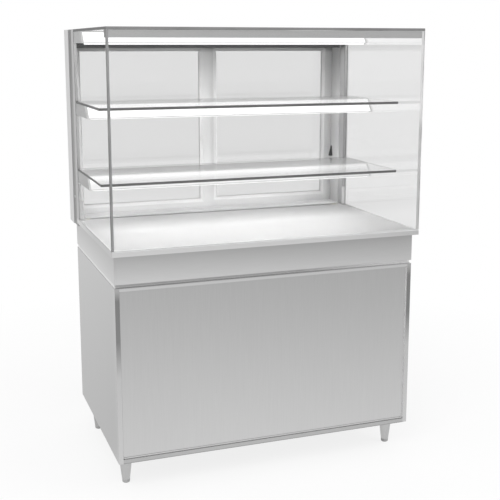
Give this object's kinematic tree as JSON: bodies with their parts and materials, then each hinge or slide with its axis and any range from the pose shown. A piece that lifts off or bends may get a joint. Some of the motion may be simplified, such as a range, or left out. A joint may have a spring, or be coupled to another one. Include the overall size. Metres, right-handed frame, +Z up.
{
  "type": "refrigerated display case",
  "caption": "Free-standing refrigerated display case with a stainless base cabinet on legs, a glass tower with lit shelves and sliding rear doors.",
  "frame": {"origin": "on the floor under the centre of the case", "axes": "+Z up, -Y towards the customer's side, +X to the customer's right"},
  "size_m": [1, 0.72, 1.394],
  "materials": {
    "stainless": "fine brushed stainless steel",
    "galvanised": "galvanised sheet",
    "leg_steel": "polished steel",
    "grey_rubber": "grey rubber",
    "grey_laminate": "satin grey laminate on board",
    "dark_pvc": "dark grey extruded PVC",
    "grey_profile": "satin grey coated aluminium",
    "aluminium": "satin anodised",
    "clear_glass": "clear polished glass",
    "lens": "white diffusing plastic",
    "foam": "rigid foam",
    "black_plastic": "moulded, satin",
    "copper": "drawn copper tube",
    "black_paint": "black enamel"
  },
  "bodies": {
    "case": {"base_tray": "stainless", "beam_brackets": "grey_profile", "cabinet_top": "galvanised", "cable_gland": "black_plastic", "compressor": "black_paint", "condensate_tray": "stainless", "condenser": "aluminium", "control_plate": "black_plastic", "deck": "stainless", "drain_pipe": "black_plastic", "evaporator": "aluminium", "evaporator_fan_frames": "black_plastic", "fan_motor": "black_paint", "fan_shroud": "galvanised", "front_glass": "clear_glass", "front_panel": "stainless", "jamb_left": "aluminium", "jamb_right": "aluminium", "jamb_strips": "dark_pvc", "leg_feet": "grey_rubber", "legs": "leg_steel", "lenses": "lens", "light_beam_lower": "grey_profile", "light_beam_top": "grey_profile", "light_beam_upper": "grey_profile", "lower_rail": "stainless", "post_feet": "aluminium", "post_left": "aluminium", "post_right": "aluminium", "rear_panel": "galvanised", "rear_sill": "aluminium", "rear_top_rail": "dark_pvc", "refrigerant_lines": "copper", "shelf_lower": "clear_glass", "shelf_upper": "clear_glass", "side_glass_left": "clear_glass", "side_glass_right": "clear_glass", "side_panel_left": "stainless", "side_panel_right": "stainless", "spacer_board": "grey_laminate", "switch_housings": "black_plastic", "tank_foam": "foam", "tank_liner": "stainless", "tank_skin": "stainless", "top_glass": "clear_glass", "top_profile": "grey_profile", "upper_rail": "stainless"},
    "door_left": {"door_left_frame": "aluminium", "door_left_glass": "clear_glass", "door_left_pull": "black_plastic"},
    "door_right": {"door_right_frame": "aluminium", "door_right_glass": "clear_glass", "door_right_pull": "black_plastic"},
    "condenser_fan_body": {"condenser_fan": "aluminium"},
    "evaporator_fan_left_body": {"evaporator_fan_left": "black_plastic"},
    "evaporator_fan_right_body": {"evaporator_fan_right": "black_plastic"},
    "thermostat_knob_body": {"thermostat_knob": "black_plastic"},
    "power_switch_body": {"power_switch": "black_plastic"},
    "light_switch_body": {"light_switch": "black_plastic"}
  },
  "joints": [
    {"name": "door_left_slide", "type": "slide", "parent": "case", "child": "door_left", "axis": [1, 0, 0], "range_m": [0, 0.45]},
    {"name": "door_right_slide", "type": "slide", "parent": "case", "child": "door_right", "axis": [-1, 0, 0], "range_m": [0, 0.45]},
    {"name": "condenser_fan_spin", "type": "hinge", "parent": "case", "child": "condenser_fan_body", "pos_m": [0.3, 0.199, 0.238], "axis": [0, 1, 0], "continuous": true},
    {"name": "evaporator_fan_left_spin", "type": "hinge", "parent": "case", "child": "evaporator_fan_left_body", "pos_m": [-0.2, 0.095, 0.719], "axis": [0, 0, 1], "continuous": true},
    {"name": "evaporator_fan_right_spin", "type": "hinge", "parent": "case", "child": "evaporator_fan_right_body", "pos_m": [0.2, 0.095, 0.719], "axis": [0, 0, 1], "continuous": true},
    {"name": "thermostat_turn", "type": "hinge", "parent": "case", "child": "thermostat_knob_body", "pos_m": [-0.385, 0.303, 0.54], "axis": [0, -1, 0], "range_deg": [0, 270]},
    {"name": "power_switch_rock", "type": "hinge", "parent": "case", "child": "power_switch_body", "pos_m": [-0.325, 0.292, 0.54], "axis": [-1, 0, 0], "range_deg": [0, 16]},
    {"name": "light_switch_rock", "type": "hinge", "parent": "case", "child": "light_switch_body", "pos_m": [-0.285, 0.292, 0.54], "axis": [-1, 0, 0], "range_deg": [0, 16]}
  ]
}
